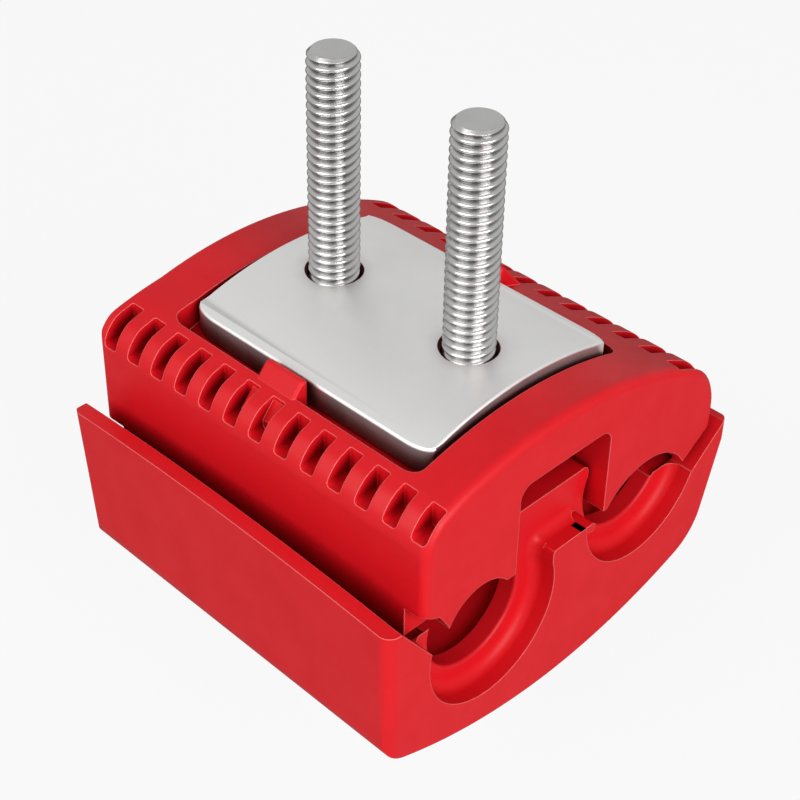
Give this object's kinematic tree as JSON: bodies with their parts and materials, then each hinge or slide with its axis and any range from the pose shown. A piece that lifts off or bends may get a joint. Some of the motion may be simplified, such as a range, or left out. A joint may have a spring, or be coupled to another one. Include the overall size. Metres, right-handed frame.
{
  "type": "insulation piercing connector",
  "caption": "Clamp with two moulded jaws that close round a main and a tap cable, drawn together by shear-head bolts and arched pressure plates, with toothed contact blades inside.",
  "frame": {"origin": "on the main cable's axis, midway between the facing teeth and halfway along the connector", "axes": "+Y along the cables, +Z along the bolts towards the upper pressure plate, +X from the tap cable towards the main cable"},
  "size_m": [0.0965, 0.0872, 0.135],
  "materials": {
    "jaw_plastic": "satin moulded red nylon",
    "plate_steel": "satin with polished edges",
    "bolt_steel": "bright zinc plate",
    "contact_metal": "tin plate",
    "seal_rubber": "matte"
  },
  "bodies": {
    "lower": {"lower_jaw": "jaw_plastic", "lower_pressure_plate": "plate_steel", "flat_washer_near": "bolt_steel", "flat_washer_far": "bolt_steel", "spring_washer_near": "bolt_steel", "spring_washer_far": "bolt_steel", "lower_blade_near": "contact_metal", "lower_blade_far": "contact_metal", "lower_tap_gasket": "seal_rubber", "lower_main_gasket": "seal_rubber", "bolt_seal_near": "seal_rubber", "bolt_seal_far": "seal_rubber"},
    "upper": {"upper_jaw": "jaw_plastic", "upper_pressure_plate": "plate_steel", "upper_blade_near": "contact_metal", "upper_blade_far": "contact_metal", "upper_tap_gasket": "seal_rubber", "upper_main_gasket": "seal_rubber"},
    "near_bolt": {"bolt_near": "bolt_steel"},
    "far_bolt": {"bolt_far": "bolt_steel"}
  },
  "joints": [
    {"name": "bolt_near_turn", "type": "hinge", "parent": "lower", "child": "near_bolt", "pos_m": [-0.0237, -0.01765, 0], "axis": [0, 0, 1], "range_deg": [-6165, 490]},
    {"name": "bolt_far_turn", "type": "hinge", "parent": "lower", "child": "far_bolt", "pos_m": [-0.0237, 0.01765, 0], "axis": [0, 0, 1], "range_deg": [-6165, 490]},
    {"name": "jaw_slide", "type": "slide", "parent": "lower", "child": "upper", "axis": [0, 0, 1], "range_m": [-0.0024, 0.03]}
  ],
  "couplings": [
    {"joint": "bolt_far_turn", "follows": "bolt_near_turn", "ratio": 1},
    {"joint": "jaw_slide", "follows": "bolt_near_turn", "m_per_rad": -0.0002785}
  ]
}
